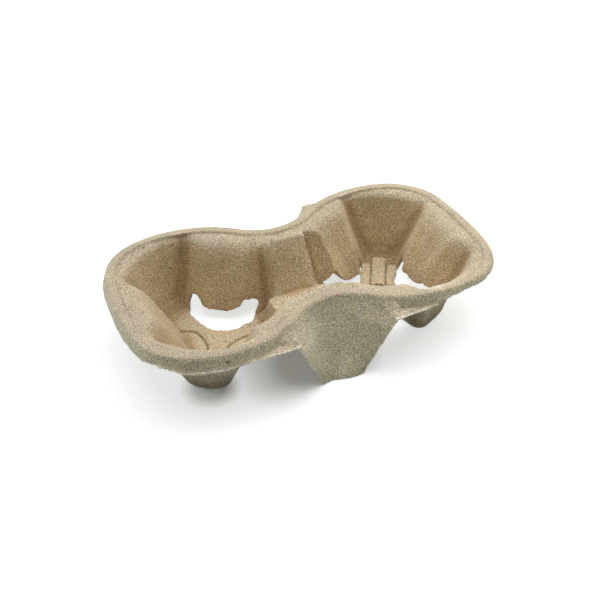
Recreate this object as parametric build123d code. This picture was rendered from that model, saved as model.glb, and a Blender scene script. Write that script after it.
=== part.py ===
from build123d import *
from math import asin, atan2, cos, degrees, hypot, radians, sin, sqrt, tan
import os

# A carrier for two cups, moulded in one piece from paper pulp: one thin sheet
# with a rim, two wells, a saddle between them and a flap down each waist.
# Millimetres. It stands on Z = 0 with its long axis along X and its middle
# over the origin. One quarter is modelled and mirrored twice.

# The whole
carrier_length = 210.0
carrier_width = 114.0
waist_width = 72.0
carrier_height = 41.5
wall = 2.0
length_in_spacings = 2.1
cup_spacing = carrier_length / length_in_spacings

# Outline of the rim, seen from above
crown_offset = 10.0
side_crown = cup_spacing / 2 + crown_offset
side_radius = 64.0
corner_radius = 35.0
end_radius = 200.0

# Section of the rim
skirt_height = 6.5
skirt_flare = 2.0
rim_round = 1.6
rim_inside = 2.1
bead_width = 4.6
bead_step = 1.2
bead_slope = 0.4
lip_drop = 0.6
lip_reach = 20.0
flange_width = 1.3
flange_thickness = 1.2
trim_width = 120.0

# Wells: three pads lean in on a cup and three pockets stand between them
pad_count = 3
mouth_depth = 3.0
mouth_pad_radius = 38.6
mouth_pocket_radius = 51.0
mouth_saddle_radius = 46.0
mouth_pad_half_angle = 20.0
mouth_pocket_half_angle = 30.0
floor_pad_radius = 18.7
floor_pocket_radius = 37.6
floor_saddle_radius = 26.0
floor_pad_half_angle = 27.0
floor_pocket_half_angle = 15.0
pad_edge_round = 4.5
pocket_edge_round = 5.0
pad_lip_round = 5.2
pocket_lip_round = 3.0
floor_round = 1.6
pocket_floor_round = 7.0
wall_lean = 1.1

# Windows cut under the pads, each with the pad's rounded tongue over it
window_centre = 24.6
window_radius = 17.2
window_height = 13.5
tongue_radius = 15.0
tongue_height = 6.6
slit_width = 1.0
slit_top = 17.5
slit_angle = 22.5
slit_start = 20.0
slit_end = 40.0

# The back window of the left well, torn wider
torn_radius = 19.2
torn_angle = 63.0
torn_height = 11.0
torn_tongue_height = 5.0

# The tongue that hangs lower in the right well, beside the saddle
low_tongue_height = 2.9
low_tongue_shift = -4.5

# Windows of the left well that still hold their tab: a curved groove and a cut at the foot
tab_groove_width = 1.4
tab_groove_top = 3.4
foot_cut_start = 18.4
foot_cut_width = 0.9
foot_cut_length = 9.0

# Three ribs along the floor of each outer pocket of the right well
rib_height = 1.5
middle_rib_half_width = 4.0
middle_rib_end = 34.4
side_rib_start = 5.2
side_rib_width = 5.6
side_rib_end = 28.0
rib_start = 8.0
rib_sink = 1.9

# Arch under each foot
arch_width = 4.6
arch_height = 1.6
arch_start = 11.0

# Saddle between the wells
saddle_height = 15.5
saddle_half_width = 6.8
saddle_top_half_width = 23.4
saddle_inset = 32.0
saddle_half_length = cup_spacing / 2 - saddle_inset
saddle_foot_spread = 4.5
saddle_foot_half_length = saddle_half_length + saddle_foot_spread
saddle_foot_half_width = 9.5
ridge_inset = 37.6
ridge_top_half_length = cup_spacing / 2 - ridge_inset
ridge_foot_spread = 1.6
ridge_foot_half_length = ridge_top_half_length + ridge_foot_spread
ridge_round = 3.0
groove_top_half_width = 26.6
groove_floor_half_width = 12.0
groove_top_inset = 25.6
groove_top_half_length = cup_spacing / 2 - groove_top_inset
groove_floor_inset = 16.0
groove_floor_half_length = cup_spacing / 2 - groove_floor_inset

# Flap down each waist, as half sections from the waist's middle to the trim
flap_trim_half_width = 27.8
flap_levels = (
    (0.8, 35.8, (20.0, 43.2), (27.0, 47.9), (28.0, 48.6)),
    (7.0, 39.1, (19.6, 46.4), (25.6, 51.2), (27.8, 59.8)),
    (12.0, 41.5, (17.5, 50.5), (23.0, 56.5), (25.6, 59.3)),
    (carrier_height, 54.9, (7.5, 55.1), (10.0, 55.4), (12.0, 55.9)),
)

# Trimmed edge: the lobes' flange stops short of the ends, and the right lobe is trimmed higher
flange_end_gap = 8.0
flange_half_length = carrier_length / 2 - flange_end_gap
trim_inset = 4.0
trim_start = cup_spacing / 2 - trim_inset
trim_run = 24.0
trim_end = trim_start + trim_run
trimmed_skirt_height = 4.3
trim_reach = 12.0

margin = 1.0


def mix(start, end, share):
    return start + (end - start) * share


def turn(start, end):
    """Direction from one point to another, in degrees."""
    return degrees(atan2(end[1] - start[1], end[0] - start[0]))


def tangent_centre(centre_a, reach_a, centre_b, reach_b):
    """The upper point at reach_a from centre_a and at reach_b from centre_b."""
    across = centre_b[0] - centre_a[0]
    up = centre_b[1] - centre_a[1]
    apart = hypot(across, up)
    along = (apart**2 + reach_a**2 - reach_b**2) / (2 * apart)
    aside = sqrt(reach_a**2 - along**2)
    return (
        centre_a[0] + (along * across - aside * up) / apart,
        centre_a[1] + (along * up + aside * across) / apart,
    )


def quarter_outline():
    """Quarter of the rim's outline as four tangent arcs, from an end to the waist."""
    end_centre = (carrier_length / 2 - end_radius, 0.0)
    side_centre = (side_crown, carrier_width / 2 - side_radius)
    sink = (carrier_width - waist_width) / 2
    waist_radius = (side_crown**2 + sink**2) / (2 * sink) - side_radius
    waist_centre = (0.0, waist_width / 2 + waist_radius)
    corner_centre = tangent_centre(
        end_centre, end_radius - corner_radius, side_centre, side_radius - corner_radius
    )
    end_turn = turn(end_centre, corner_centre)
    corner_turn = turn(side_centre, corner_centre)
    side_turn = turn(side_centre, waist_centre)
    waist_turn = turn(waist_centre, side_centre)
    return [
        CenterArc(end_centre, end_radius, 0, end_turn),
        CenterArc(corner_centre, corner_radius, end_turn, corner_turn - end_turn),
        CenterArc(side_centre, side_radius, corner_turn, side_turn - corner_turn),
        CenterArc(waist_centre, waist_radius, waist_turn, -90 - waist_turn),
    ]


def outline_face(grow):
    """The whole outline as a face on the ground, grown by a distance."""
    quarter = quarter_outline()
    half = quarter + [arc.mirror(Plane.YZ) for arc in quarter]
    whole = half + [arc.mirror(Plane.XZ) for arc in half]
    return Face(Wire(whole).offset_2d(grow))


def quarter_box(bottom, top):
    size = carrier_length
    box = Box(size, size, top - bottom, align=(Align.MIN, Align.MIN, Align.MIN))
    return Pos(0, 0, bottom) * box


def rim():
    """Skirt, bead and lip: one section swept along the outline."""
    foot = carrier_height - skirt_height
    lip = carrier_height - bead_step
    section = [
        (skirt_flare, foot - flange_thickness),
        (skirt_flare, foot),
        (0, carrier_height),
        (-bead_width, carrier_height),
        (-bead_width - bead_slope, lip),
        (-lip_reach, lip - lip_drop),
        (-lip_reach, lip - lip_drop - wall),
        (-bead_width - bead_slope + rim_inside / 2, lip - wall),
        (-bead_width + rim_inside / 2, carrier_height - wall),
        (-rim_inside, carrier_height - wall),
        (skirt_flare - rim_inside, foot - flange_thickness),
    ]
    points = [(carrier_length / 2 + out, 0, up) for out, up in section]
    face = Face(Wire(Polyline(*points, close=True).edges()))
    crest = face.vertices().sort_by_distance((carrier_length / 2, 0, carrier_height))[0]
    face = face.fillet_2d(rim_round, [crest])
    return sweep(face, Wire(quarter_outline()))


def round_off(radius, depth):
    """How far a rounded edge of this radius has drawn back at a depth under its top."""
    if depth >= radius:
        return 0.0
    return radius - sqrt(radius**2 - (radius - depth) ** 2)


def flank_angles(pad, pocket, pad_half, pocket_half, grow):
    """Angles off a pad's middle where its flank leaves it and meets the pocket."""
    between = 180 / pad_count
    start = (pad * cos(radians(pad_half)), pad * sin(radians(pad_half)))
    end_angle = radians(between - pocket_half)
    end = (pocket * cos(end_angle), pocket * sin(end_angle))
    lean = turn(start, end)
    reach = start[0] * sin(radians(lean)) - start[1] * cos(radians(lean)) + grow
    at_pad = lean - degrees(asin(reach / (pad + grow)))
    at_pocket = lean - degrees(asin(reach / (pocket + grow)))
    return at_pad, at_pocket


def well_section(height, grow=0.0, pad_out=0.0, pocket_out=0.0):
    """Outline of the right well at a height, about the well's own axis."""
    share = (carrier_height - mouth_depth - height) / (carrier_height - mouth_depth - wall)
    pad = mix(mouth_pad_radius, floor_pad_radius, share) + pad_out
    pocket = mix(mouth_pocket_radius, floor_pocket_radius, share) + pocket_out
    saddle = mix(mouth_saddle_radius, floor_saddle_radius, share) + pocket_out
    pad_half = mix(mouth_pad_half_angle, floor_pad_half_angle, share)
    pocket_half = mix(mouth_pocket_half_angle, floor_pocket_half_angle, share)
    pitch = 360 / pad_count

    def at(radius, angle):
        return Vector(radius * cos(radians(angle)), radius * sin(radians(angle)), height)

    edges = []
    pad_ends = []
    pocket_ends = []
    outer_pad = pad + grow
    for number in range(pad_count):
        middle = pitch * number
        before = saddle if number == 2 else pocket
        after = saddle if number == 1 else pocket
        last = flank_angles(pad, before, pad_half, pocket_half, grow)
        ahead = flank_angles(pad, after, pad_half, pocket_half, grow)
        outer = after + grow
        corners = [
            at(outer_pad, middle - last[0]),
            at(outer_pad, middle + ahead[0]),
            at(outer, middle + ahead[1]),
            at(outer, middle + pitch - ahead[1]),
            at(outer_pad, middle + pitch - ahead[0]),
        ]
        edges.append(ThreePointArc(corners[0], at(outer_pad, middle), corners[1]))
        edges.append(Line(corners[1], corners[2]))
        edges.append(ThreePointArc(corners[2], at(outer, middle + pitch / 2), corners[3]))
        edges.append(Line(corners[3], corners[4]))
        pad_ends += corners[0:2]
        pocket_ends += corners[2:4]
    face = Face(Wire(edges))

    def near(points):
        return [face.vertices().sort_by_distance(point)[0] for point in points]

    face = face.fillet_2d(pad_edge_round - grow, near(pad_ends))
    face = face.fillet_2d(pocket_edge_round + grow, near(pocket_ends))
    return face.outer_wire()


def round_shares():
    return (0.0, 0.15, 0.45, 1.0)


def well_inside():
    """The space inside the right well, open at the top."""
    top = carrier_height - bead_step - lip_drop / 2
    sections = [well_section(carrier_height + margin, 0, pad_lip_round + margin, pocket_lip_round)]
    for share in round_shares():
        depth = share * pad_lip_round
        pad_out = round_off(pad_lip_round, depth)
        pocket_out = round_off(pocket_lip_round, depth)
        sections.append(well_section(top - depth, 0, pad_out, pocket_out))
    for share in reversed(round_shares()):
        rise = share * pocket_floor_round
        pad_out = -round_off(floor_round, rise)
        pocket_out = -round_off(pocket_floor_round, rise)
        sections.append(well_section(wall + rise, 0, pad_out, pocket_out))
    return Pos(cup_spacing / 2, 0, 0) * Solid.make_loft(sections, True)


def well_outside():
    """The same space grown by the wall, cut off inside the lip's thickness."""
    grow = wall * wall_lean
    top = carrier_height - bead_step - lip_drop / 2
    outer_round = floor_round + wall
    sections = []
    for share in round_shares()[1:]:
        depth = share * pad_lip_round
        pad_out = round_off(pad_lip_round, depth)
        pocket_out = round_off(pocket_lip_round, depth)
        sections.append(well_section(top - depth, grow, pad_out, pocket_out))
    for share in reversed(round_shares()):
        inset = -round_off(outer_round, share * outer_round)
        sections.append(well_section(share * outer_round, grow, inset, inset))
    return Pos(cup_spacing / 2, 0, 0) * Solid.make_loft(sections, True)


def taper(low_x, low_y, low_z, high_x, high_y, high_z, corner=0.0):
    """A block that tapers from one rectangle about the Z axis to another."""
    faces = []
    for half_x, half_y, height in ((low_x, low_y, low_z), (high_x, high_y, high_z)):
        sketch = Rectangle(2 * half_x, 2 * half_y)
        if corner > 0:
            sketch = fillet(sketch.vertices(), corner)
        faces.append(Pos(0, 0, height) * sketch)
    return loft(faces, ruled=True)


def saddle_space(grow):
    """Space over the saddle and beside its ridge, less the ridge: add, ridge, trough."""
    low = wall - grow
    high = carrier_height + margin
    mouth = carrier_height - mouth_depth
    deep = (groove_top_half_width - groove_floor_half_width) / (mouth - wall)
    groove = taper(
        groove_floor_half_length + grow,
        groove_floor_half_width + grow - deep * grow,
        low,
        groove_top_half_length + grow,
        groove_top_half_width + grow + deep * (high - mouth),
        high,
        ridge_round,
    )
    block = taper(
        ridge_foot_half_length - grow,
        carrier_width,
        low - margin,
        ridge_top_half_length - grow,
        carrier_width,
        high,
    )
    nose = taper(
        saddle_foot_half_length - grow,
        saddle_foot_half_width - grow,
        low - margin,
        saddle_half_length - grow,
        saddle_half_width - grow,
        saddle_height - grow,
        ridge_round - grow / 2,
    )
    lean = (saddle_top_half_width - saddle_half_width) / (mouth - saddle_height)
    trough = taper(
        saddle_half_length + grow,
        saddle_half_width + grow - lean * grow,
        saddle_height - grow,
        saddle_half_length + grow,
        saddle_top_half_width + grow + lean * (high - mouth),
        high,
    )
    return groove, block + nose, trough


def at_well(number, angle=0.0):
    """Place on the right well's axis, turned to a pad and by an angle more."""
    return Pos(cup_spacing / 2, 0, 0) * Rot(0, 0, 360 / pad_count * number + angle)


def bar(start, end, side, width, bottom, top):
    """A straight bar that runs outward along X, from one side of it to the other."""
    block = Box(end - start, width, top - bottom, align=(Align.MIN, Align.MIN, Align.MIN))
    return Pos(start, side, bottom) * block


def slits():
    """The two slits that free a pad's lower edges."""
    slit = bar(slit_start, slit_end, -slit_width / 2, slit_width, tongue_height, slit_top)
    return [Rot(0, 0, side * slit_angle) * slit for side in (-1, 1)]


def between_slits():
    """The space over a pad, from one slit to the other."""
    reach = carrier_width
    aside = reach * tan(radians(slit_angle))
    corners = Polyline((0, 0), (reach, -aside), (reach, aside), close=True)
    return extrude(Face(Wire(corners.edges())), carrier_height)


def open_window(radius, top, tongue_bottom, tongue_shift=0.0):
    """Crescent under a pad on the +X side of a well, with the pad's tongue left over it."""
    bore = Cylinder(radius, top + margin, align=(Align.CENTER, Align.CENTER, Align.MIN))
    tongue = Rot(0, 90, 0) * Cylinder(tongue_radius, carrier_length)
    tongue = Pos(0, tongue_shift, tongue_bottom + tongue_radius) * tongue
    return Pos(window_centre, 0, -margin) * bore - tongue


def slit_window(tongue_bottom):
    """An open window whose tongue hangs free between its two slits."""
    window = open_window(window_radius, window_height, tongue_bottom)
    whole = open_window(window_radius, window_height, carrier_height)
    return window + (whole - between_slits())


def tab_groove():
    """Curved groove round a tab that is still in its window, and the cut at the pad's foot."""
    outer = Circle(window_radius)
    inner = Circle(window_radius - tab_groove_width)
    ring = Pos(window_centre, 0, -margin) * extrude(outer - inner, tab_groove_top + margin)
    cut = bar(
        foot_cut_start,
        foot_cut_start + foot_cut_width,
        -foot_cut_length / 2,
        foot_cut_length,
        -margin,
        tongue_height,
    )
    return ring + cut


def ribs():
    """Three ribs on the strip of floor that a pocket on the +X side of a well keeps between its windows."""
    low = wall - rib_sink
    high = wall + rib_height
    half = middle_rib_half_width
    edge = side_rib_start + side_rib_width
    strip = bar(rib_start, side_rib_end, -edge, 2 * edge, low, wall)
    middle = bar(rib_start, middle_rib_end, -half, 2 * half, low, high)
    left = bar(rib_start, side_rib_end, side_rib_start, side_rib_width, low, high)
    right = bar(rib_start, side_rib_end, -edge, side_rib_width, low, high)
    return [strip, middle, left, right]


def foot_arch():
    end = floor_pocket_radius + pad_edge_round + pocket_edge_round
    return bar(arch_start, end, -arch_width / 2, arch_width, -margin, arch_height)


def flap_section(depth, middle, bend, knee, trim):
    """Half section of the flap at a depth under the rim: an arc and two straights, walled."""
    height = carrier_height - depth
    rise = bend[1] - middle
    radius = (bend[0] ** 2 + rise**2) / (2 * rise)
    sweep_angle = asin(bend[0] / radius)
    centre = middle + radius

    def on_arc(reach, share):
        angle = sweep_angle * share
        return (reach * sin(angle), centre - reach * cos(angle))

    def behind(point, start, end):
        run = (end[0] - start[0], end[1] - start[1])
        length = hypot(*run)
        return (point[0] + wall * run[1] / length, point[1] - wall * run[0] / length)

    back = radius + wall
    back_bend = on_arc(back, 1)
    first = behind(knee, bend, knee)
    second = behind(knee, knee, trim)
    back_knee = ((first[0] + second[0]) / 2, (first[1] + second[1]) / 2)
    back_trim = behind(trim, knee, trim)
    edges = [
        ThreePointArc(on_arc(radius, 0), on_arc(radius, 0.5), bend),
        Line(bend, knee),
        Line(knee, trim),
        Line(trim, back_trim),
        Line(back_trim, back_knee),
        Line(back_knee, back_bend),
        ThreePointArc(back_bend, on_arc(back, 0.5), on_arc(back, 0)),
        Line(on_arc(back, 0), on_arc(radius, 0)),
    ]
    return Pos(0, 0, height) * Wire(edges)


def flap():
    """Half of the flap that carries the skirt down to the ground at the waist."""
    return Solid.make_loft([flap_section(*level) for level in flap_levels], True)


def flange():
    """Trimmed flange: it follows the skirt round the lobes and fills out beside the flap."""
    bottom = carrier_height - skirt_height - flange_thickness
    lobe = outline_face(skirt_flare + flange_width) & Rectangle(2 * flange_half_length, 2 * trim_width)
    bridge = Rectangle(2 * side_crown, trim_width)
    opening = outline_face(skirt_flare - wall / 2)
    gap = Rectangle(2 * (flap_trim_half_width - wall / 2), 2 * trim_width)
    shape = (Sketch() + lobe + bridge) - opening - gap
    return extrude(Pos(0, 0, bottom) * shape, flange_thickness)


def high_trim():
    """What the trimming took off the right lobe's skirt: a ring under a sloping plane."""
    bottom = carrier_height - skirt_height - flange_thickness
    low = bottom - margin
    ring = Sketch() + outline_face(trim_reach) - outline_face(-wall)
    ring = extrude(Pos(0, 0, low) * ring, skirt_height)
    top = carrier_height - trimmed_skirt_height
    profile = Polyline(
        (trim_start, 0, low),
        (trim_start, 0, bottom),
        (trim_end, 0, top),
        (carrier_length, 0, top),
        (carrier_length, 0, low),
        close=True,
    )
    wedge = extrude(Face(Wire(profile.edges())), carrier_length, both=True)
    return ring & wedge


def quarter_sheet():
    """Quarter of the sheet without its windows: rim, well, saddle, flap and flange."""
    quarter = quarter_box(-margin, carrier_height + margin)
    groove, block, trough = saddle_space(0)
    inside = well_inside() + groove - block + trough
    inside = inside & extrude(outline_face(-bead_width - bead_slope), 2 * carrier_height) & quarter
    groove, block, trough = saddle_space(wall)
    outside = well_outside() + groove - block + trough
    outside = outside & quarter_box(-margin, carrier_height - bead_step - lip_drop - wall / 2)
    return rim() + outside - inside + (flange() & quarter) + flap()


def left_cuts():
    """Two windows that still hold their tabs and one torn wide open, before mirroring."""
    torn = open_window(torn_radius, torn_height, torn_tongue_height)
    cuts = [at_well(1, 180 / pad_count - torn_angle) * torn]
    for number in (0, 2):
        cuts.append(at_well(number) * tab_groove())
        cuts += [at_well(number) * slit for slit in slits()]
    return cuts


def right_cuts():
    """Three open windows and the slits beside them."""
    low_tongue = open_window(window_radius, window_height, low_tongue_height, low_tongue_shift)
    cuts = [at_well(1) * low_tongue]
    cuts += [at_well(number) * slit_window(tongue_height) for number in (0, 2)]
    cuts += [at_well(number) * slit for number in range(pad_count) for slit in slits()]
    return cuts


def carrier():
    """Both halves from one quarter, each with its own windows, over the middle of its box."""
    quarter = quarter_sheet()
    half = quarter + mirror(quarter, about=Plane.XZ)
    spokes = [at_well(number, 180 / pad_count) for number in (0, 2)]
    half = half - [spoke * foot_arch() for spoke in spokes]
    left = mirror(half - left_cuts(), about=Plane.YZ)
    right = half - right_cuts() + [spoke * rib for spoke in spokes for rib in ribs()]
    whole = left + (right - high_trim())
    middle = whole.bounding_box().center()
    return Pos(-middle.X, -middle.Y, 0) * whole


if __name__ == "__main__":
    os.makedirs("parts", exist_ok=True)
    export_step(carrier(), "parts/cup_carrier.step")
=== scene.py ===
"""A two-cup carrier of moulded pulp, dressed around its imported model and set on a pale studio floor."""

from math import cos, radians, sin

import bmesh
import bpy
import numpy as np
from mathutils import Matrix, Vector, noise


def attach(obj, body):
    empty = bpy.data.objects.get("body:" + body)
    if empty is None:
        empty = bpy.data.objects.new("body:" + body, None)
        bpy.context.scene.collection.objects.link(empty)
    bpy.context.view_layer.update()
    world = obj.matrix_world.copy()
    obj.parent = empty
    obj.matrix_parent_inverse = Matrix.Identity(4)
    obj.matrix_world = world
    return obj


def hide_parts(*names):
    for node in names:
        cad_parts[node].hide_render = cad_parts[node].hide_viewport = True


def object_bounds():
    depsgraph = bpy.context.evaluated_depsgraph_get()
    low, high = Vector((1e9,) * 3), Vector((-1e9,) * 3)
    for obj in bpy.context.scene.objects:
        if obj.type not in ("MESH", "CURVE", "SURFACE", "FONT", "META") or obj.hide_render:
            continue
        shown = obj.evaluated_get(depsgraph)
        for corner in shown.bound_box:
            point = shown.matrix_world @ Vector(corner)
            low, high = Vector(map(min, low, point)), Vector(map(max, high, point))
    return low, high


bl_info = {
    "name": "Moulded Pulp Cup Carrier",
    "version": (1, 0, 0),
    "blender": (4, 5, 0),
    "location": "3D View > Sidebar > Pulp",
    "description": "Builds the fibre skin of a two-cup carrier and the studio around it",
    "category": "Object",
}

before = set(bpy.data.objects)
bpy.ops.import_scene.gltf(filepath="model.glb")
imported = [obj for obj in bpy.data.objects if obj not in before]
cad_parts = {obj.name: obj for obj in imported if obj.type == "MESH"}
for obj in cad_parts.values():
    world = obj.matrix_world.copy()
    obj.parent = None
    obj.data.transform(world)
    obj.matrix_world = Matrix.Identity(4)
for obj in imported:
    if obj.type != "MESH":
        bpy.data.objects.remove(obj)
CAD_LOW, CAD_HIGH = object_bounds()

NODE = "cup_carrier"
PIECE = "moulded_carrier"

# Marks on the skin's points, which its material reads
EDGE = "torn_edge"
INNER = "cup_side"
# The wells' painted warm shade, weaker where a surface faces up
WELL_SHADE = "painted_well_shade"
CREASE = "crease"
# Painted shade in the broad folds, low on the walls and by the saddle
PAINTED_SHADE = "painted_shade"

# A millimetre in metres, and a length that stands in for 0 in a division
MM = 0.001
TINY = 1e-9

# From one well's axis to the other's, as a share of the carrier's length
WELL_PITCH = 0.469

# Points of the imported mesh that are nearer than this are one, in millimetres
MERGE = 0.002

# A loose bit of the skin with fewer points than this is a crumb
CRUMB = 500

# How often the skin is rubbed smooth to find its edges, and to find its broad folds
EDGE_RUBS = 24
FOLD_RUBS = 500

# How much of the way to the middle of its neighbours each rub moves a point
RUB_FACTOR = 0.5

# How far the rubbing moves a point where a mark starts, and how much further at full strength, in millimetres
EDGE_MOVE = (0.2, 0.2)
CUT_MOVE = (0.21, 0.06)
CREASE_MOVE = (0.11, 0.1)
HOLLOW_MOVE = (0.1, 0.7)

# The mark of an edge that isn't cut, and how far off the long axis cut edges start, in millimetres
PLAIN_EDGE = 0.5
CUT_FROM = 45.0

# How strong a crease is below the bead, and at most on it
CREASE_STRENGTH = (0.3, 1.3)

# How much weaker, as a power, and how many times finer each further octave of the noise is
OCTAVE_FADE = 1.0
OCTAVE_STEP = 2.0

# Lengths of a torn edge's broad and fine fraying, in millimetres, and how strong the fine one is
FRAY_LENGTH = 4.5
FINE_FRAY_LENGTH = 1.4
FINE_FRAY = 0.6

# Where this one sheet was pulled out of the mould's true shape, in millimetres: place, way and reach
LEFT_BACK_WINDOW = (
    ((-56.0, 31.9, 4.7), (-1.1, 0.6, -0.1), 9),
    ((-48.3, 24.8, 11.0), (-1.7, 0.1, -1.8), 8),
    ((-57.5, 20.0, 2.0), (1.2, 0.8, 0.0), 7),
    ((-56.6, 13.1, 1.9), (1.5, 2.0, 0.0), 10),
    ((-47.1, 3.0, 2.0), (0.7, 2.0, 0.0), 11),
    ((-33.7, 1.8, 2.0), (-0.1, 2.4, 0.0), 11),
    ((-21.5, 7.0, 2.0), (-1.0, 1.2, 0.0), 7),
    ((-20.5, 13.1, 4.6), (-1.5, 0.1, -0.3), 8),
    ((-20.9, 16.1, 12.2), (-2.0, -0.2, -1.5), 7),
)
RIGHT_END_WINDOW = (
    ((66.0, 7.9, 3.5), (-1.3, 0.6, 0.0), 7),
    ((73.3, 6.8, 11.7), (-1.4, 0.4, -1.4), 7),
    ((75.1, 12.7, 14.8), (-1.5, 0.2, -2.8), 6),
    ((75.7, -13.1, 15.6), (-0.8, -2.0, -4.2), 7),
    ((73.7, -9.1, 12.0), (0.0, -0.4, -1.8), 5),
)
RIGHT_BACK_PAD = (
    ((28.9, 27.7, 32.1), (2.8, 1.2, -1.2), 8),
    ((31.9, 24.2, 23.5), (3.0, 1.4, -1.2), 8),
    ((35.9, 20.9, 14.2), (2.8, 1.4, -0.7), 8),
    ((25.9, 18.0, 16.9), (-0.7, -1.7, -3.8), 7),
    ((21.5, 17.0, 14.5), (-0.5, -1.2, -3.0), 6),
)
NEAR_SIDE = (
    ((-68.0, -37.0, 5.0), (0.0, -1.2, 0.0), 16),
    ((-94.0, -47.0, 35.0), (0.2, 0.6, 1.3), 14),
    ((5.0, -56.0, 1.0), (-0.8, -2.4, 0.0), 12),
    ((60.0, -54.0, 38.0), (0.4, 1.6, 0.4), 34),
)
RIGHT_FOOT = (
    ((62.0, -38.0, 5.0), (-3.4, -1.0, 0.0), 17),
    ((67.0, -42.0, 19.0), (-3.2, 0.8, 0.0), 14),
    ((73.0, -38.0, 13.0), (-5.4, 1.0, -0.3), 15),
)
RIGHT_FLOOR = (
    ((50.5, 12.1, 2.0), (-1.0, -1.9, 0.0), 8),
    ((60.5, 6.4, 2.0), (-1.0, -1.9, 0.0), 8),
)
PULLS = (*LEFT_BACK_WINDOW, *RIGHT_END_WINDOW, *RIGHT_BACK_PAD, *NEAR_SIDE, *RIGHT_FOOT, *RIGHT_FLOOR)

# Folds that dried wider than the mould's, in millimetres: both ends and reach
FOLDS = (
    ((-14.0, 26.0, 36.0), (-14.0, 15.5, 11.0), 11),
    ((-29.6, -51.0, 37.2), (-31.0, -52.0, 34.5), 5),
    ((28.0, -51.9, 38.3), (29.0, -52.5, 36.0), 4.5),
    ((-12.2, -23.3, 37.4), (-12.2, -23.3, 36.4), 4),
)

# How full a fold is inside: with 1 only on its line, and with more out to a part of its reach
FOLD_CORE = 1.4

# Two dark specks in the pulp, and a slit that is pressed shut beside the ribs and drawn as a line of painted
# shade, in millimetres
SPECKS = ((-75.2, 48.5, 40.2), (-64.9, -58.0, 37.4))
SLIT_START = (50.5, 29.6, 14.0)
SLIT_END = (50.4, 22.5, 5.5)

# Their strength as creases, their size in millimetres, and how many sizes away they have faded
SPOT_STRENGTH = 1.6
SPOT_SIZE = 0.9
SPOT_END = 1.4

# The round grooves of the left well's two tabs: middle, in millimetres, and the way they bulge, in degrees
TABS = (((-74.3, 0.0), 0.0), ((-37.4, -21.3), 120.0))
TAB_RADIUS = 16.5
TAB_WIDTH = 2.4
TAB_HALF_TURN = 80.0
TAB_STEPS = 40

# The top of the film in a groove, and where the groove has painted shade: in from its sides, and between two
# heights
TAB_FILM = 1.2
TAB_SHADE_INSET = 0.3
TAB_SHADE_SOFT = 0.2
TAB_SHADE_LOW = 0.6
TAB_SHADE_HIGH = 1.7

# The ribs in the right well's outer pockets: their spokes, in degrees, and on these, in millimetres, how far
# from the well's axis they start, how soft their sides and ends are, and the heights that they stay between
RIB_SPOKES = (60.0, -60.0)
RIB_START = 8.0
RIB_SOFT = 0.3
RIB_LOW = 1.2
RIB_HIGH = 12.0

# A rib's outer side, far end and height
MIDDLE_RIB = (4.0, 34.4, 0.9)
SIDE_RIB = (10.8, 28.0, 0.5)

# The grooves between them: distance from the spoke, half width and depth, and how far they pass the side ribs
RIB_GROOVE = (4.6, 0.42, 0.45)
RIB_GROOVE_MORE = 3.0

# How far a surface faces up where the ribs start to show, and the span to all of them
RIB_UPWARD = (0.2, 0.25)

# How much a surface's facing up counts for the cup side, and where that side's mark starts and its span
CUP_SIDE_UPWARD = 1.2
CUP_SIDE_FACING = (-0.25, 1 / 1.2)

# How far the wells reach from their axes, and half the length and width of the trough, in millimetres
WELL_RADIUS = 53.0
TROUGH_X = 35.0
TROUGH_Y = 30.0

# How far a surface inside the wells faces up where the painted warm shade starts to give way to painted
# light, the span, and by how much it does
PALE_UPWARD = (0.47, 0.2)
PALE_SHARE = 0.55

# The top of the wells' floor, in millimetres, and the most of the walls' painted warm shade that it has
FLOOR_TOP = 2.5
FLOOR_WARMTH = 0.45

# The painted shade at the foot of the walls: where it ends and over what span, by height in millimetres and
# by facing up
LOW_WALL = (18.0, 12.0)
LOW_WALL_UPWARD = (0.75, 0.2)
LOW_WALL_SHARE = 0.55

# The painted shade beside the saddle: middle and reach, in millimetres, how full it is inside, and its
# strength
SADDLE = (-7.0, 14.0, 27.0)
SADDLE_REACH = 20.0
SADDLE_CORE = 1.5
SADDLE_SHARE = 0.45

# How the long fibres' pattern is drawn out and, in radians, turned, and its share of the relief
FIBRE_STRETCH = (1.0, 0.35, 0.7)
FIBRE_SLANT = (0.4, 0.3, 0.6)
FELT_SHARE = 0.6

# How widely the loose fibre spreads its sheen
FUZZ_ROUGHNESS = 0.5

# Half the floor's width, in metres
FLOOR_REACH = 6.0

# The floor's darkest places, where its glow is painted down into shade, under the near flap and beside the
# left near foot: middle and reach, in metres
FLAP_SHADE = (-0.012, -0.038, 0.0)
FLAP_SHADE_REACH = (0.016, 0.042)
FOOT_SHADE = (-0.067, -0.033, 0.0)
FOOT_SHADE_REACH = (0.008, 0.017)

# The share of the floor's white glow that is left in the painted shade beside the foot
FOOT_SHADE_SHARE = 0.2

# Where the lamps stand, in metres, and the colour of their light
KEY_PLACE = (0.85, 0.35, 0.95)
TOP_PLACE = (0.0, 0.0, 1.3)
SIDE_PLACE = (-0.7, 0.6, 0.9)
EDGE_PLACE = (-0.95, 0.75, 0.25)
KEY_COLOUR = (1.0, 0.975, 0.93)
TOP_COLOUR = (1.0, 0.985, 0.96)
SIDE_COLOUR = (0.97, 0.985, 1.0)
EDGE_COLOUR = (0.93, 0.97, 1.0)
ROOM_COLOUR = (1.0, 0.9, 0.74)
WHITE = (1.0, 1.0, 1.0)

# Where the camera stands, in metres, and which ways its picture's right side and top lie
CAMERA_PLACE = (-0.166705, -0.364816, 0.328603)
CAMERA_RIGHT = (0.912773, -0.408467, 0.000678)
CAMERA_UP = (0.250313, 0.560668, 0.789300)

# The width of the camera's sensor, in millimetres, and how near and how far it sees, in metres
CAMERA_SENSOR = 36.0
CAMERA_CLIP = (0.01, 20.0)

# Sockets of the mix node that mix colours, whose names its other sockets have too
MIX_SHARE = 0
MIX_FIRST = 6
MIX_SECOND = 7
MIX_RESULT = 2


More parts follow.
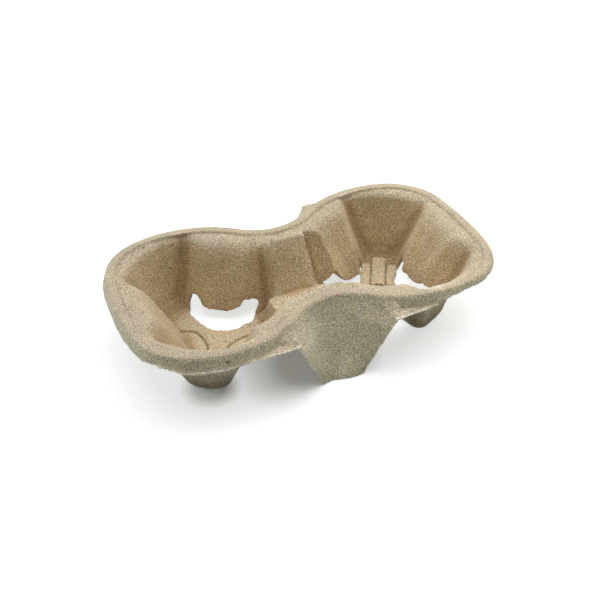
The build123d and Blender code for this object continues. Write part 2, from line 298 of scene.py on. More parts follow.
class PulpSheet(bpy.types.PropertyGroup):
    """Sizes of the moulded sheet's own roughness."""

    voxel: bpy.props.FloatProperty(
        name="Skin grid", description="Grid on which the sheet is made one even skin",
        default=0.00058, min=0.0003, max=0.002, precision=5, subtype="DISTANCE", unit="LENGTH")
    softening: bpy.props.IntProperty(
        name="Softening", description="How often the skin's corners are rubbed round",
        default=4, min=0, max=20)
    wave_height: bpy.props.FloatProperty(
        name="Wave height", description="How far the sheet is out of true after drying",
        default=0.00022, min=0, max=0.001, precision=5, subtype="DISTANCE", unit="LENGTH")
    wave_length: bpy.props.FloatProperty(
        name="Wave length", description="Distance between the sheet's waves",
        default=0.016, min=0.002, max=0.1, precision=4, subtype="DISTANCE", unit="LENGTH")
    grain_height: bpy.props.FloatProperty(
        name="Grain height", description="Depth of the felted fibre's grain",
        default=0.00006, min=0, max=0.0005, precision=5, subtype="DISTANCE", unit="LENGTH")
    grain_length: bpy.props.FloatProperty(
        name="Grain length", description="Size of one grain of the felted fibre",
        default=0.0016, min=0.0003, max=0.01, precision=5, subtype="DISTANCE", unit="LENGTH")
    ragged: bpy.props.FloatProperty(
        name="Ragged edge", description="How far a torn edge wanders in and out",
        default=0.0004, min=0, max=0.003, precision=5, subtype="DISTANCE", unit="LENGTH")
    crease: bpy.props.FloatProperty(
        name="Crease", description="How much deeper the sheet's inner corners are pressed",
        default=0.00022, min=0, max=0.001, precision=5, subtype="DISTANCE", unit="LENGTH")
    bead_low: bpy.props.FloatProperty(
        name="Bead height", description="Height over which the creases are the sharp ones of the bead",
        default=0.036, min=0.0, max=0.1, precision=4, subtype="DISTANCE", unit="LENGTH")
    # The rim's band keeps none of the wells' painted warm shade
    rim_depth: bpy.props.FloatProperty(
        name="Rim depth", description="Depth of the rim's paler band below its top",
        default=0.0025, min=0.0005, max=0.02, precision=4, subtype="DISTANCE", unit="LENGTH")
    triangles: bpy.props.IntProperty(
        name="Triangles", description="Most triangles that the finished skin may have",
        default=190000, min=20000, max=199000)


class PulpFinish(bpy.types.PropertyGroup):
    """Colours and surface of the felted fibre."""

    # The cup side's colour on the walls below the rim is partly the smooth side's own brown and partly
    # painted warm shade; the rim shows the sheet without it
    rim: bpy.props.FloatVectorProperty(
        name="Rim", description="Colour of the dry upper side of the rim",
        default=(0.52, 0.445, 0.32), size=3, min=0, max=1, subtype="COLOR")
    inner: bpy.props.FloatVectorProperty(
        name="Cup side", description="Colour of the smooth walls that the cups stand between",
        default=(0.565, 0.44, 0.272), size=3, min=0, max=1, subtype="COLOR")
    outer: bpy.props.FloatVectorProperty(
        name="Screen side", description="Colour of the rougher outside",
        default=(0.585, 0.53, 0.375), size=3, min=0, max=1, subtype="COLOR")
    # Colour of the painted shade in the folds, low on the walls and by the saddle, and of the brown edges in
    # the wells
    fold_shade_and_edge_brown: bpy.props.FloatVectorProperty(
        name="Folds", description="Colour of the folds where the wet fibre settled, and of the wells' edges",
        default=(0.37, 0.255, 0.135), size=3, min=0, max=1, subtype="COLOR")
    fibre: bpy.props.FloatVectorProperty(
        name="Torn fibre", description="Colour of the pale fibre at torn edges",
        default=(0.84, 0.78, 0.64), size=3, min=0, max=1, subtype="COLOR")
    cut: bpy.props.FloatVectorProperty(
        name="Cut edge", description="Colour of the clean fibre at cut edges",
        default=(0.94, 0.88, 0.74), size=3, min=0, max=1, subtype="COLOR")
    # Colour of the pulp's own dark flecks, and of the painted shade in the creases, the tab grooves and the
    # slit
    fleck_and_crease_shade: bpy.props.FloatVectorProperty(
        name="Fleck", description="Colour of the dark flecks in the pulp and of its creases",
        default=(0.13, 0.095, 0.055), size=3, min=0, max=1, subtype="COLOR")
    roughness: bpy.props.FloatProperty(
        name="Roughness", description="Roughness of dry felted fibre",
        default=0.93, min=0, max=1, subtype="FACTOR")
    gloss: bpy.props.FloatProperty(
        name="Gloss", description="Strength of the fibre's dull gloss",
        default=0.25, min=0, max=1, subtype="FACTOR")
    fuzz: bpy.props.FloatProperty(
        name="Fuzz", description="Pale sheen of the loose fibre, seen along the surface",
        default=0.22, min=0, max=1, subtype="FACTOR")
    relief: bpy.props.FloatProperty(
        name="Relief", description="Strength of the finest grain, which is shading alone",
        default=0.55, min=0, max=1, subtype="FACTOR")
    relief_depth: bpy.props.FloatProperty(
        name="Relief depth", description="Depth of the finest grain",
        default=0.0004, min=0, max=0.002, precision=5, subtype="DISTANCE", unit="LENGTH")


class PulpStudio(bpy.types.PropertyGroup):
    """The floor, the lamps and the camera."""

    floor: bpy.props.FloatVectorProperty(
        name="Floor", description="Colour of the plain floor",
        default=(0.92, 0.95, 1.0), size=3, min=0, max=1, subtype="COLOR")
    bounce: bpy.props.FloatVectorProperty(
        name="Bounce", description="Colour of the light that the floor gives back to the carrier",
        default=(0.74, 0.79, 0.81), size=3, min=0, max=1, subtype="COLOR")
    room: bpy.props.FloatProperty(
        name="Room light", description="Strength of the even light of the room",
        default=0.06, min=0, max=2)
    key: bpy.props.FloatProperty(
        name="Key lamp", description="Power of the soft lamp over the back right",
        default=11.4, min=0, max=100, subtype="POWER", unit="POWER")
    top: bpy.props.FloatProperty(
        name="Top lamp", description="Power of the soft lamp overhead",
        default=9.2, min=0, max=100, subtype="POWER", unit="POWER")
    side: bpy.props.FloatProperty(
        name="Side lamp", description="Power of the soft lamp over the back left",
        default=5.0, min=0, max=100, subtype="POWER", unit="POWER")
    lamp_size: bpy.props.FloatProperty(
        name="Lamp size", description="Width of each of these soft lamps",
        default=1.2, min=0.05, max=3, subtype="DISTANCE", unit="LENGTH")
    edge: bpy.props.FloatProperty(
        name="Edge lamp", description="Power of the low lamp at the back left",
        default=2.5, min=0, max=100, subtype="POWER", unit="POWER")
    edge_size: bpy.props.FloatProperty(
        name="Edge lamp size", description="Width of the low lamp",
        default=0.5, min=0.05, max=3, subtype="DISTANCE", unit="LENGTH")
    open_glow: bpy.props.FloatProperty(
        name="Floor glow", description="Share of plain white in what the camera sees of the near floor",
        default=0.62, min=0, max=1, subtype="FACTOR")
    shade_glow: bpy.props.FloatProperty(
        name="Shade glow", description="The same share under the near flap, where the floor is dark",
        default=0.16, min=0, max=1, subtype="FACTOR")
    exposure: bpy.props.FloatProperty(
        name="Floor brightness", description="How much brighter the camera sees the floor than it is",
        default=1.66, min=0.1, max=2, subtype="FACTOR")
    fade_start: bpy.props.FloatProperty(
        name="Fade start", description="Distance at which the floor begins to fade to white",
        default=0.35, min=0.1, max=5, subtype="DISTANCE", unit="LENGTH")
    fade_end: bpy.props.FloatProperty(
        name="Fade end", description="Distance at which the floor is all white",
        default=0.9, min=0.2, max=6, subtype="DISTANCE", unit="LENGTH")
    lens: bpy.props.FloatProperty(
        name="Lens", description="Focal length of the camera, in millimetres",
        default=54.638, min=10, max=300, subtype="DISTANCE_CAMERA")


def linked(name, data):
    """A new object at the origin, in the scene's own collection."""
    made = bpy.data.objects.new(name, data)
    bpy.context.scene.collection.objects.link(made)
    return made


def settled(piece):
    """Gives a piece the mesh that its modifiers make, and drops them."""
    view = bpy.context.evaluated_depsgraph_get()
    mesh = bpy.data.meshes.new_from_object(piece.evaluated_get(view))
    piece.modifiers.clear()
    old = piece.data
    piece.data = mesh
    bpy.data.meshes.remove(old)
    mesh.name = piece.name


def point_rows(mesh, name):
    """The places, co, or the outward ways, normal, of the mesh's points, as rows of three."""
    flat = np.zeros(len(mesh.vertices) * 3, np.float32)
    mesh.vertices.foreach_get(name, flat)
    return flat.reshape(-1, 3).astype(float)


def placed(mesh, points):
    """Puts the mesh's points back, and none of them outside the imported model's box."""
    points = np.clip(points, np.array(CAD_LOW), np.array(CAD_HIGH))
    mesh.vertices.foreach_set("co", points.astype(np.float32).ravel())
    mesh.update()


def masked(mesh, name, values):
    """Keeps a value for each point, for the material to read."""
    layer = mesh.attributes.new(name, "FLOAT", "POINT")
    layer.data.foreach_set("value", values.astype(np.float32))


def field(points, length, shift=0.0, octaves=1):
    """Smooth noise from about -1 to 1 at each point, from a part of the noise that the shift picks."""
    values = np.empty(len(points))
    moved = points / length + shift
    for number, point in enumerate(moved):
        values[number] = noise.fractal(
            Vector(point), OCTAVE_FADE, OCTAVE_STEP, octaves, noise_basis="PERLIN_ORIGINAL")
    return values


def unit(rows):
    """The rows' directions, each with a length of 1."""
    return rows / np.maximum(np.linalg.norm(rows, axis=1), TINY)[:, None]


def grows(values, start, span):
    """0 up to a start, and 1 from a span after it."""
    return np.clip((values - start) / span, 0, 1)


def fades(values, end, span):
    """1 up to a span before an end, and 0 from the end on."""
    return np.clip((end - values) / span, 0, 1)


def within(values, low, high, soft):
    """1 between two bounds and 0 outside them, over a soft step inside each."""
    return grows(values, low, soft) * fades(values, high, soft)


def place_distance(points, place):
    """How far each point is from a place, in millimetres."""
    return np.linalg.norm(points / MM - place, axis=1)


def line_distance(points, start, end):
    """How far each point is from the line between two places, in millimetres."""
    line = np.subtract(end, start)
    first = points / MM - start
    along = np.clip(first @ line / (line @ line), 0, 1)
    return np.linalg.norm(first - along[:, None] * line, axis=1)


def well_axis(right):
    """Where a well's axis stands along the carrier, in metres."""
    middle = (CAD_HIGH.x + CAD_LOW.x) / 2
    spacing = (CAD_HIGH.x - CAD_LOW.x) * WELL_PITCH
    return middle + spacing / 2 if right else middle - spacing / 2


def tab_films(shell):
    """The thin film of pulp that holds each tab in the left well's floor, as arcs in its groove."""
    for middle, bulge in TABS:
        film = bmesh.new()
        begin = Matrix.Rotation(radians(bulge - TAB_HALF_TURN), 3, "Z")
        for side, up in ((-0.5, 0), (0.5, 0), (0.5, 1), (-0.5, 1)):
            film.verts.new(begin @ Vector((TAB_RADIUS + side * TAB_WIDTH, 0, up * TAB_FILM)))
        end = film.faces.new(film.verts)
        bmesh.ops.spin(
            film, geom=[*film.verts, *film.edges, end], cent=(0, 0, 0), axis=(0, 0, 1),
            angle=radians(2 * TAB_HALF_TURN), steps=TAB_STEPS, use_merge=False, use_duplicate=False)
        bmesh.ops.recalc_face_normals(film, faces=film.faces)
        bmesh.ops.scale(film, vec=(MM, MM, MM), verts=film.verts)
        bmesh.ops.translate(film, vec=(middle[0] * MM, middle[1] * MM, 0), verts=film.verts)
        part = bpy.data.meshes.new("film")
        film.to_mesh(part)
        film.free()
        shell.from_mesh(part)
        bpy.data.meshes.remove(part)


def rub(piece, times):
    """Adds the modifier that rubs a piece smooth a number of times."""
    soft = piece.modifiers.new("rubbed", "SMOOTH")
    soft.factor = RUB_FACTOR
    soft.iterations = times


def rubbed(piece, times):
    """Where a piece's points would lie after it was rubbed smooth a number of times."""
    copy = linked("rubbed", piece.data.copy())
    rub(copy, times)
    settled(copy)
    mesh = copy.data
    points = point_rows(mesh, "co")
    bpy.data.objects.remove(copy)
    bpy.data.meshes.remove(mesh)
    return points


def skin():
    """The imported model's surface as one even skin of small faces."""
    sheet = bpy.context.scene.pulp_sheet
    shell = bmesh.new()
    shell.from_mesh(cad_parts[NODE].data)
    bmesh.ops.remove_doubles(shell, verts=shell.verts, dist=MERGE * MM)
    tab_films(shell)
    mesh = bpy.data.meshes.new(PIECE)
    shell.to_mesh(mesh)
    shell.free()
    piece = linked(PIECE, mesh)
    even = piece.modifiers.new("even_skin", "REMESH")
    even.mode = "VOXEL"
    even.voxel_size = sheet.voxel
    rub(piece, sheet.softening)
    settled(piece)
    return piece


def thinned(piece, most):
    """Brings a piece down to about this many triangles where it has more."""
    count = sum(len(face.vertices) - 2 for face in piece.data.polygons)
    if count > most:
        fewer = piece.modifiers.new("fewer", "DECIMATE")
        fewer.ratio = most / count
        settled(piece)


def without_crumbs(mesh):
    """Drops the loose crumbs that the skin's grid leaves, so that the piece is one surface."""
    shell = bmesh.new()
    shell.from_mesh(mesh)
    seen = set()
    crumbs = []
    for start in shell.verts:
        if start in seen:
            continue
        seen.add(start)
        island = [start]
        for vert in island:
            for edge in vert.link_edges:
                other = edge.other_vert(vert)
                if other not in seen:
                    seen.add(other)
                    island.append(other)
        if len(island) < CRUMB:
            crumbs += island
    bmesh.ops.delete(shell, geom=crumbs, context="VERTS")
    shell.to_mesh(mesh)
    shell.free()


def fold_share(points):
    """1 in the wide folds and 0 away from them."""
    share = np.zeros(len(points))
    for start, end, reach in FOLDS:
        far = line_distance(points, start, end) / reach
        share = np.maximum(share, np.clip(FOLD_CORE * (1 - far**2), 0, 1))
    return share


def corners(piece, outward):
    """How far each point is on an edge and in a crease, and the way out of the edge.

    An edge's share is up to a half on any edge, and more on the sharpest ones, which are cut.
    """
    way = point_rows(piece.data, "co") - rubbed(piece, EDGE_RUBS)
    far = np.linalg.norm(way, axis=1) / MM
    rise = (way * outward).sum(1) / MM
    plain = PLAIN_EDGE * grows(far, *EDGE_MOVE)
    cut = (1 - PLAIN_EDGE) * grows(far, *CUT_MOVE)
    return (plain + cut) * (rise > 0), grows(-rise, *CREASE_MOVE), unit(way)


def edge_share(points, edge, fold):
    """The share of an edge, with none in the wide folds and cut ones only along the long sides."""
    edge = edge * (1 - fold)
    long_side = np.abs(points[:, 1]) > CUT_FROM * MM
    return np.where(long_side, edge, np.minimum(edge, PLAIN_EDGE))


def crease_share(points, crease, fold):
    """How deep a crease is and how dark its painted shade: most at the specks, which are dark of their own,
    and at the slit, less on the bead, faint below it.
    """
    sheet = bpy.context.scene.pulp_sheet
    strength = np.clip((points[:, 2] - sheet.bead_low) / MM, *CREASE_STRENGTH)
    crease = np.maximum(crease * strength * (1 - fold), tab_grooves(points))
    spots = [place_distance(points, place) for place in SPECKS]
    spots.append(line_distance(points, SLIT_START, SLIT_END))
    for far in spots:
        crease = np.maximum(crease, SPOT_STRENGTH * fades(far / SPOT_SIZE, SPOT_END, 1))
    return crease


def tab_grooves(points):
    """1 in the grooves round the tabs and 0 elsewhere."""
    x, y, z = (points / MM).T
    inset = TAB_WIDTH / 2 - TAB_SHADE_INSET
    share = np.zeros(len(points))
    for middle, _ in TABS:
        far = np.hypot(x - middle[0], y - middle[1])
        share += within(far, TAB_RADIUS - inset, TAB_RADIUS + inset, TAB_SHADE_SOFT)
    return share * (z > TAB_SHADE_LOW) * (z < TAB_SHADE_HIGH)


def cup_side(points, outward):
    """1 on the side that the cups stand in, 0 on the outside."""
    middle = (CAD_HIGH.x + CAD_LOW.x) / 2
    axis = np.where(points[:, 0] > middle, well_axis(True), well_axis(False))
    radial = unit(np.stack([points[:, 0] - axis, points[:, 1]], 1))
    facing = outward[:, 2] * CUP_SIDE_UPWARD - (radial * outward[:, :2]).sum(1)
    return grows(facing, *CUP_SIDE_FACING)


def painted_well_shade(points, outward):
    """Painted warm shade: 1 on the walls inside the wells and 0 on the rim, with the floor and what faces up,
    painted lighter, between.
    """
    sheet = bpy.context.scene.pulp_sheet
    x, y, z = points.T
    off = np.minimum(np.hypot(x - well_axis(True), y), np.hypot(x - well_axis(False), y))
    trough = (np.abs(x) < TROUGH_X * MM) & (np.abs(y) < TROUGH_Y * MM)
    inside = (off < WELL_RADIUS * MM) | trough
    depth = fades(z, CAD_HIGH.z - sheet.rim_depth, sheet.rim_depth)
    deep = inside * depth * (1 - PALE_SHARE * grows(outward[:, 2], *PALE_UPWARD))
    return np.where(z < FLOOR_TOP * MM, np.minimum(deep, FLOOR_WARMTH), deep)


def painted_shade_share(points, smooth, outward):
    """Painted shade: 1 in the broad folds, and less so low on the walls and by the saddle."""
    rise = ((points - smooth) * outward).sum(1) / MM
    height = points[:, 2] / MM
    folds = grows(-rise, *HOLLOW_MOVE)
    low_wall = (height > FLOOR_TOP) * fades(height, *LOW_WALL) * fades(outward[:, 2], *LOW_WALL_UPWARD)
    saddle = np.clip(SADDLE_CORE * (1 - place_distance(points, SADDLE) / SADDLE_REACH), 0, 1)
    return np.maximum.reduce([folds, LOW_WALL_SHARE * low_wall, SADDLE_SHARE * saddle])


def pulled(points):
    """The points after the small pulls that set this sheet off from a true one."""
    moved = points.copy()
    for place, way, reach in PULLS:
        far = place_distance(points, place) / reach
        moved += (np.clip(1 - far**2, 0, 1) ** 2)[:, None] * np.array(way) * MM
    return moved


def rib_rise(points, outward):
    """How far the ribs and their grooves stand off the moulded floor, in metres."""
    x, y, z = (points / MM).T
    x = x - well_axis(True) / MM
    floor = grows(outward[:, 2], *RIB_UPWARD) * (z > RIB_LOW) * (z < RIB_HIGH)
    middle_side, middle_end, middle_height = MIDDLE_RIB
    outer_side, outer_end, outer_height = SIDE_RIB
    place, width, depth = RIB_GROOVE
    rise = np.zeros(len(points))
    for spoke in RIB_SPOKES:
        turn = radians(spoke)
        along = x * cos(turn) + y * sin(turn)
        side = np.abs(y * cos(turn) - x * sin(turn))
        middle = fades(side, middle_side, RIB_SOFT) * within(along, RIB_START, middle_end, RIB_SOFT)
        rise += middle * middle_height
        outer = within(side, place + width, outer_side, RIB_SOFT)
        rise += outer * within(along, RIB_START, outer_end, RIB_SOFT) * outer_height
        groove = np.exp(-(((side - place) / width) ** 2))
        rise -= groove * within(along, RIB_START, outer_end + RIB_GROOVE_MORE, RIB_SOFT) * depth
    return rise * floor * MM


def sheet_rise(points, outward, crease):
    """How far waves, grain and ribs raise the surface and creases lower it, in metres."""
    sheet = bpy.context.scene.pulp_sheet
    wave = field(points, sheet.wave_length) * sheet.wave_height
    grain = field(points, sheet.grain_length, shift=7.0, octaves=2) * sheet.grain_height
    return wave + grain + rib_rise(points, outward) - crease * sheet.crease


def edge_wander(points, edge):
    """How far the torn edges wander out and in, in metres."""
    sheet = bpy.context.scene.pulp_sheet
    broad = field(points, FRAY_LENGTH * MM, shift=3.0, octaves=3)
    fine = field(points, FINE_FRAY_LENGTH * MM, shift=5.0, octaves=2)
    return (broad + fine * FINE_FRAY) * sheet.ragged * np.clip(edge / PLAIN_EDGE, 0, 1)


class PULP_OT_carrier(bpy.types.Operator):
    """Build the carrier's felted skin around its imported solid"""

    bl_idname = "pulp.carrier"
    bl_label = "Moulded Carrier"

    def execute(self, context):
        piece = skin()
        mesh = piece.data
        points = point_rows(mesh, "co")
        outward = point_rows(mesh, "normal")
        smooth = rubbed(piece, FOLD_RUBS)
        fold = fold_share(points)
        edge, crease, way = corners(piece, outward)
        edge = edge_share(points, edge, fold)
        crease = crease_share(points, crease, fold)
        masked(mesh, EDGE, edge)
        masked(mesh, CREASE, crease)
        masked(mesh, INNER, cup_side(points, outward))
        masked(mesh, WELL_SHADE, painted_well_shade(points, outward))
        masked(mesh, PAINTED_SHADE, painted_shade_share(points, smooth, outward))
        rise = outward * sheet_rise(points, outward, crease)[:, None]
        wander = way * edge_wander(points, edge)[:, None]
        placed(mesh, pulled(points + fold[:, None] * (smooth - points)) + rise + wander)
        thinned(piece, context.scene.pulp_sheet.triangles)
        mesh = piece.data
        without_crumbs(mesh)
        mesh.validate()
        mesh.shade_smooth()
        mesh.materials.clear()
        mesh.materials.append(pulp_material())
        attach(piece, "root")
        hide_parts(NODE)
        return {"FINISHED"}


class Nodes:
    """Short ways to add and join the nodes of one tree."""

    def __init__(self, tree):
        self.tree = tree
        self.tree.nodes.clear()

    def add(self, kind, **settings):
        """A new node with some of its settings."""
        node = self.tree.nodes.new(kind)
        for name, value in settings.items():
            setattr(node, name, value)
        return node

    def join(self, source, target):
        """A link from a node's output to another's input."""
        self.tree.links.new(source, target)

    def feed(self, value, socket):
        """Gives a socket an output, a number or a colour."""
        if hasattr(value, "is_linked"):
            self.join(value, socket)
        elif isinstance(value, (int, float)):
            socket.default_value = value
        else:
            socket.default_value = (*value, 1.0)

    def place(self):
        """Each point's place in the object's own coordinates."""
        return self.add("ShaderNodeTexCoord").outputs["Object"]

    def attribute(self, name):
        """The value that a point of the mesh keeps under a name."""
        return self.add("ShaderNodeAttribute", attribute_name=name).outputs["Fac"]

    def noise(self, where, scale, detail, rough, distortion=0.0):
        """Noise from 0 to 1, with a scale in bumps a metre."""
        node = self.add("ShaderNodeTexNoise")
        self.join(where, node.inputs["Vector"])
        node.inputs["Scale"].default_value = scale
        node.inputs["Detail"].default_value = detail
        node.inputs["Roughness"].default_value = rough
        node.inputs["Distortion"].default_value = distortion
        return node.outputs["Fac"]

    def ramp(self, value, low, high, start=0.0, end=1.0):
        """A value that runs from start to end as another runs from low to high."""
        node = self.add("ShaderNodeMapRange")
        node.inputs["From Min"].default_value = low
        node.inputs["From Max"].default_value = high
        node.inputs["To Min"].default_value = start
        node.inputs["To Max"].default_value = end
        self.join(value, node.inputs["Value"])
        return node.outputs["Result"]

    def mix(self, share, first, second):
        """The first colour where the share is 0 and the second where it is 1."""
        node = self.add("ShaderNodeMix", data_type="RGBA")
        self.feed(share, node.inputs[MIX_SHARE])
        self.feed(first, node.inputs[MIX_FIRST])
        self.feed(second, node.inputs[MIX_SECOND])
        return node.outputs[MIX_RESULT]

    def maths(self, operation, first, second):
        """Two values joined by one operation."""
        node = self.add("ShaderNodeMath", operation=operation)
        self.feed(first, node.inputs[0])
        self.feed(second, node.inputs[1])
        return node.outputs["Value"]

    def product(self, first, *others):
        """Two or more values multiplied."""
        for other in others:
            first = self.maths("MULTIPLY", first, other)
        return first

    def distance(self, where, place):
        """How far away one place is, in metres."""
        node = self.add("ShaderNodeVectorMath", operation="DISTANCE")
        self.join(where, node.inputs[0])
        node.inputs[1].default_value = place
        return node.outputs["Value"]


def along_fibres(tree, where):
    """The place, drawn out along the way that the fibres lie."""
    stretch = tree.add("ShaderNodeMapping")
    stretch.inputs["Scale"].default_value = FIBRE_STRETCH
    stretch.inputs["Rotation"].default_value = FIBRE_SLANT
    tree.join(where, stretch.inputs["Vector"])
    return stretch.outputs["Vector"]


def sheet_colour(tree, deep):
    """Warm with painted shade on the walls inside the wells, greyer outside and on the rim, and darker with
    painted shade in the folds.
    """
    finish = bpy.context.scene.pulp_finish
    # The cup side's colour as painted warm shade on the walls inside the wells
    cup = tree.mix(deep, finish.rim, finish.inner)
    body = tree.mix(tree.attribute(INNER), finish.outer, cup)
    # Painted shade in the folds, low on the walls and by the saddle, kept off the rim
    dark = tree.product(tree.attribute(PAINTED_SHADE), tree.ramp(deep, low=0, high=0.4, end=0.95))
    return tree.mix(dark, body, finish.fold_shade_and_edge_brown)


def marked_colour(tree, where, deep, colour):
    """The colour with its flecks, the painted shade of its creases, and its edges, which are brown in the
    wells and pale outside.
    """
    finish = bpy.context.scene.pulp_finish
    torn = tree.attribute(EDGE)
    speckle = tree.noise(along_fibres(tree, where), scale=620, detail=2, rough=0.6)
    colour = tree.mix(tree.ramp(speckle, low=0.66, high=0.72, end=0.5), colour, finish.fleck_and_crease_shade)
    any_edge = tree.ramp(torn, low=0, high=PLAIN_EDGE)
    brown = tree.product(any_edge, tree.ramp(deep, low=0.5, high=0.9, end=0.9))
    colour = tree.mix(brown, colour, finish.fold_shade_and_edge_brown)
    # Painted shade in the creases, the tab grooves and the slit, and the specks' own dark
    pressed = tree.ramp(tree.attribute(CREASE), low=0, high=SPOT_STRENGTH, end=0.9)
    colour = tree.mix(pressed, colour, finish.fleck_and_crease_shade)
    loose = tree.ramp(tree.noise(where, scale=500, detail=3, rough=0.7), low=0.3, high=0.5, start=0.5)
    frayed = tree.product(any_edge, loose, tree.ramp(deep, low=0, high=0.4, start=1, end=0.05))
    colour = tree.mix(frayed, colour, finish.fibre)
    sharp = tree.ramp(torn, low=PLAIN_EDGE, high=1)
    cut = tree.product(sharp, tree.ramp(deep, low=0, high=0.4, start=1, end=0))
    return tree.mix(cut, colour, finish.cut)


def fibre_tone_and_painted_light(tree, where):
    """How light the fibre is: broad clouds, specks and fine grain, and painted light that makes it paler
    towards the right end.
    """
    split = tree.add("ShaderNodeSeparateXYZ")
    tree.join(where, split.inputs[0])
    cloud = tree.noise(where, scale=60, detail=3, rough=0.6)
    speck = tree.noise(where, scale=2100, detail=2, rough=0.6)
    fine = tree.noise(where, scale=1300, detail=1, rough=0.5)
    return tree.product(
        tree.ramp(cloud, low=0.3, high=0.7, start=0.9, end=1.1),
        tree.ramp(speck, low=0.35, high=0.65, start=0.42, end=1.58),
        tree.ramp(fine, low=0.3, high=0.7, start=0.75, end=1.25),
        # Painted light: paler towards the right end
        tree.ramp(split.outputs["X"], low=CAD_LOW.x, high=CAD_HIGH.x, start=0.95, end=1.09))


def felt_relief(tree, where):
    """The finest grain of the surface, with long fibres in it."""
    finish = bpy.context.scene.pulp_finish
    grain = tree.noise(where, scale=900, detail=4, rough=0.65)
    felt = tree.noise(along_fibres(tree, where), scale=1700, detail=2, rough=0.6, distortion=0.6)
    bump = tree.add("ShaderNodeBump")
    bump.inputs["Strength"].default_value = finish.relief
    bump.inputs["Distance"].default_value = finish.relief_depth
    tree.join(tree.maths("ADD", grain, tree.product(felt, FELT_SHARE)), bump.inputs["Height"])
    return bump.outputs["Normal"]


def pulp_material():
    """Felted fibre, speckled and dull, pale and loose at its torn edges."""
    finish = bpy.context.scene.pulp_finish
    material = bpy.data.materials.new("felted_pulp")
    material.use_nodes = True
    tree = Nodes(material.node_tree)
    where = tree.place()
    # The wells' painted warm shade, which also tells where the edges are brown
    deep = tree.attribute(WELL_SHADE)
    scaled = tree.add("ShaderNodeVectorMath", operation="SCALE")
    tree.join(marked_colour(tree, where, deep, sheet_colour(tree, deep)), scaled.inputs[0])
    tree.join(fibre_tone_and_painted_light(tree, where), scaled.inputs["Scale"])
    shader = tree.add("ShaderNodeBsdfPrincipled")
    shader.inputs["Roughness"].default_value = finish.roughness
    shader.inputs["Specular IOR Level"].default_value = finish.gloss
    shader.inputs["Sheen Weight"].default_value = finish.fuzz
    shader.inputs["Sheen Roughness"].default_value = FUZZ_ROUGHNESS
    tree.join(scaled.outputs["Vector"], shader.inputs["Base Color"])
    tree.join(felt_relief(tree, where), shader.inputs["Normal"])
    output = tree.add("ShaderNodeOutputMaterial")
    tree.join(shader.outputs["BSDF"], output.inputs["Surface"])
    return material


def seen_directly(tree):
    """1 for what is seen, directly, in a gloss or through glass, and 0 for the light that lights things."""
    rays = tree.add("ShaderNodeLightPath").outputs
    seen = tree.maths("MAXIMUM", rays["Is Camera Ray"], rays["Is Glossy Ray"])
    return tree.maths("MAXIMUM", seen, rays["Is Transmission Ray"])


def floor_white(tree):
    """The share of plain white in the floor, which paints its shade: little in the closest shade, some around
    it and all far away.
    """
    studio = bpy.context.scene.pulp_studio
    where = tree.place()
    far = tree.ramp(tree.distance(where, (0, 0, 0)), studio.fade_start, studio.fade_end)
    from_flap = tree.distance(where, FLAP_SHADE)
    flap = tree.ramp(from_flap, *FLAP_SHADE_REACH, start=studio.shade_glow, end=studio.open_glow)
    foot = tree.ramp(tree.distance(where, FOOT_SHADE), *FOOT_SHADE_REACH, start=FOOT_SHADE_SHARE)
    return tree.maths("MAXIMUM", far, tree.product(flap, foot))


def floor_material():
    """Plain pale paper that shows white and gives a little light back."""
    studio = bpy.context.scene.pulp_studio
    material = bpy.data.materials.new("studio_floor")
    material.use_nodes = True
    tree = Nodes(material.node_tree)
    seen = seen_directly(tree)
    paper = tree.add("ShaderNodeBsdfDiffuse")
    bright = [studio.exposure * value for value in studio.floor]
    tree.join(tree.mix(seen, studio.bounce, bright), paper.inputs["Color"])
    white = tree.add("ShaderNodeEmission")
    share = tree.add("ShaderNodeMixShader")
    tree.join(tree.product(floor_white(tree), seen), share.inputs["Fac"])
    tree.join(paper.outputs["BSDF"], share.inputs[1])
    tree.join(white.outputs["Emission"], share.inputs[2])
    output = tree.add("ShaderNodeOutputMaterial")
    tree.join(share.outputs["Shader"], output.inputs["Surface"])
    return material


def lay_floor():
    """A wide square of paper under the carrier, as the stage."""
    paper = bmesh.new()
    bmesh.ops.create_grid(paper, x_segments=1, y_segments=1, size=FLOOR_REACH)
    mesh = bpy.data.meshes.new("floor")
    paper.to_mesh(mesh)
    paper.free()
    floor = linked("floor", mesh)
    mesh.materials.append(floor_material())


def hang_lamp(name, place, size, power, colour):
    """A square soft lamp that faces the carrier."""
    light = bpy.data.lights.new(name, "AREA")
    light.shape = "SQUARE"
    light.size = size
    light.energy = power
    light.color = colour
    lamp = linked(name, light)
    lamp.location = place
    lamp.rotation_mode = "QUATERNION"
    lamp.rotation_quaternion = (-Vector(place)).to_track_quat("-Z", "Y")


def light_room():
    """The even warm light of the room, which the camera sees as white."""
    world = bpy.data.worlds.new("room")
    bpy.context.scene.world = world
    world.use_nodes = True
    tree = Nodes(world.node_tree)
    seen = seen_directly(tree)
    light = tree.add("ShaderNodeBackground")
    tree.join(tree.mix(seen, ROOM_COLOUR, WHITE), light.inputs["Color"])
    tree.join(tree.ramp(seen, 0, 1, bpy.context.scene.pulp_studio.room), light.inputs["Strength"])
    output = tree.add("ShaderNodeOutputWorld")
    tree.join(light.outputs["Background"], output.inputs["Surface"])


def set_camera():
    """The camera at the photograph's place, turned and held as it was."""
    eye = bpy.data.cameras.new("photo_camera")
    eye.lens = bpy.context.scene.pulp_studio.lens
    eye.sensor_width = CAMERA_SENSOR
    eye.clip_start, eye.clip_end = CAMERA_CLIP
    camera = linked("photo_camera", eye)
    right, up = Vector(CAMERA_RIGHT), Vector(CAMERA_UP)
    turn = Matrix((right, up, right.cross(up))).transposed()
    camera.matrix_world = Matrix.Translation(CAMERA_PLACE) @ turn.to_4x4()
    bpy.context.scene.camera = camera


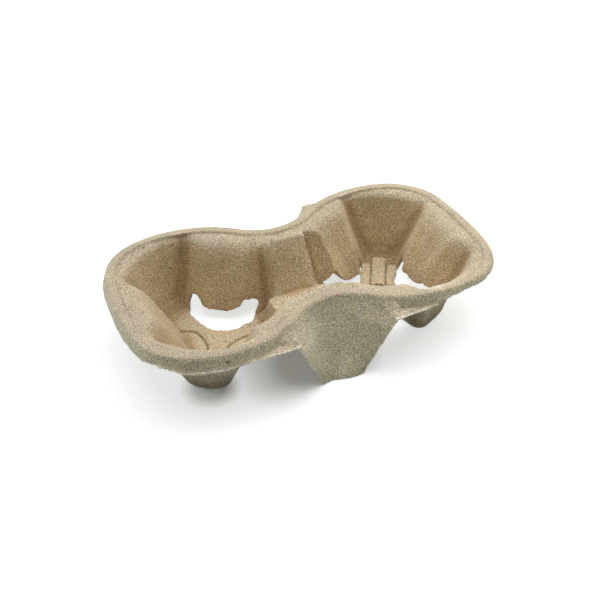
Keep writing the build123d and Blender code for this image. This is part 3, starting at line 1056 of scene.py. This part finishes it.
class PULP_OT_studio(bpy.types.Operator):
    """Lay the pale floor and set the lamps, the room light and the camera"""

    bl_idname = "pulp.studio"
    bl_label = "Studio"

    def execute(self, context):
        studio = context.scene.pulp_studio
        context.scene.view_settings.view_transform = "Standard"
        lay_floor()
        hang_lamp("key_lamp", KEY_PLACE, studio.lamp_size, studio.key, KEY_COLOUR)
        hang_lamp("top_lamp", TOP_PLACE, studio.lamp_size, studio.top, TOP_COLOUR)
        hang_lamp("side_lamp", SIDE_PLACE, studio.lamp_size, studio.side, SIDE_COLOUR)
        hang_lamp("edge_lamp", EDGE_PLACE, studio.edge_size, studio.edge, EDGE_COLOUR)
        light_room()
        set_camera()
        return {"FINISHED"}


class PULP_PT_sidebar(bpy.types.Panel):
    """The carrier's sizes, colours and studio"""

    bl_idname = "PULP_PT_sidebar"
    bl_label = "Cup Carrier"
    bl_space_type = "VIEW_3D"
    bl_region_type = "UI"
    bl_category = "Pulp"

    def draw(self, context):
        for operator, groups in SECTIONS:
            box = self.layout.box()
            for group in groups:
                settings = getattr(context.scene, group)
                for name in settings.__annotations__:
                    box.prop(settings, name)
            box.operator(operator)


SECTIONS = (("pulp.carrier", ("pulp_sheet", "pulp_finish")), ("pulp.studio", ("pulp_studio",)))
CLASSES = (PulpSheet, PulpFinish, PulpStudio, PULP_OT_carrier, PULP_OT_studio, PULP_PT_sidebar)


def register():
    for kind in CLASSES:
        bpy.utils.register_class(kind)
    bpy.types.Scene.pulp_sheet = bpy.props.PointerProperty(type=PulpSheet)
    bpy.types.Scene.pulp_finish = bpy.props.PointerProperty(type=PulpFinish)
    bpy.types.Scene.pulp_studio = bpy.props.PointerProperty(type=PulpStudio)


def unregister():
    del bpy.types.Scene.pulp_studio
    del bpy.types.Scene.pulp_finish
    del bpy.types.Scene.pulp_sheet
    for kind in reversed(CLASSES):
        bpy.utils.unregister_class(kind)


def main():
    register()
    bpy.ops.pulp.studio()
    bpy.ops.pulp.carrier()
    bpy.context.view_layer.update()


if __name__ == "__main__":
    main()
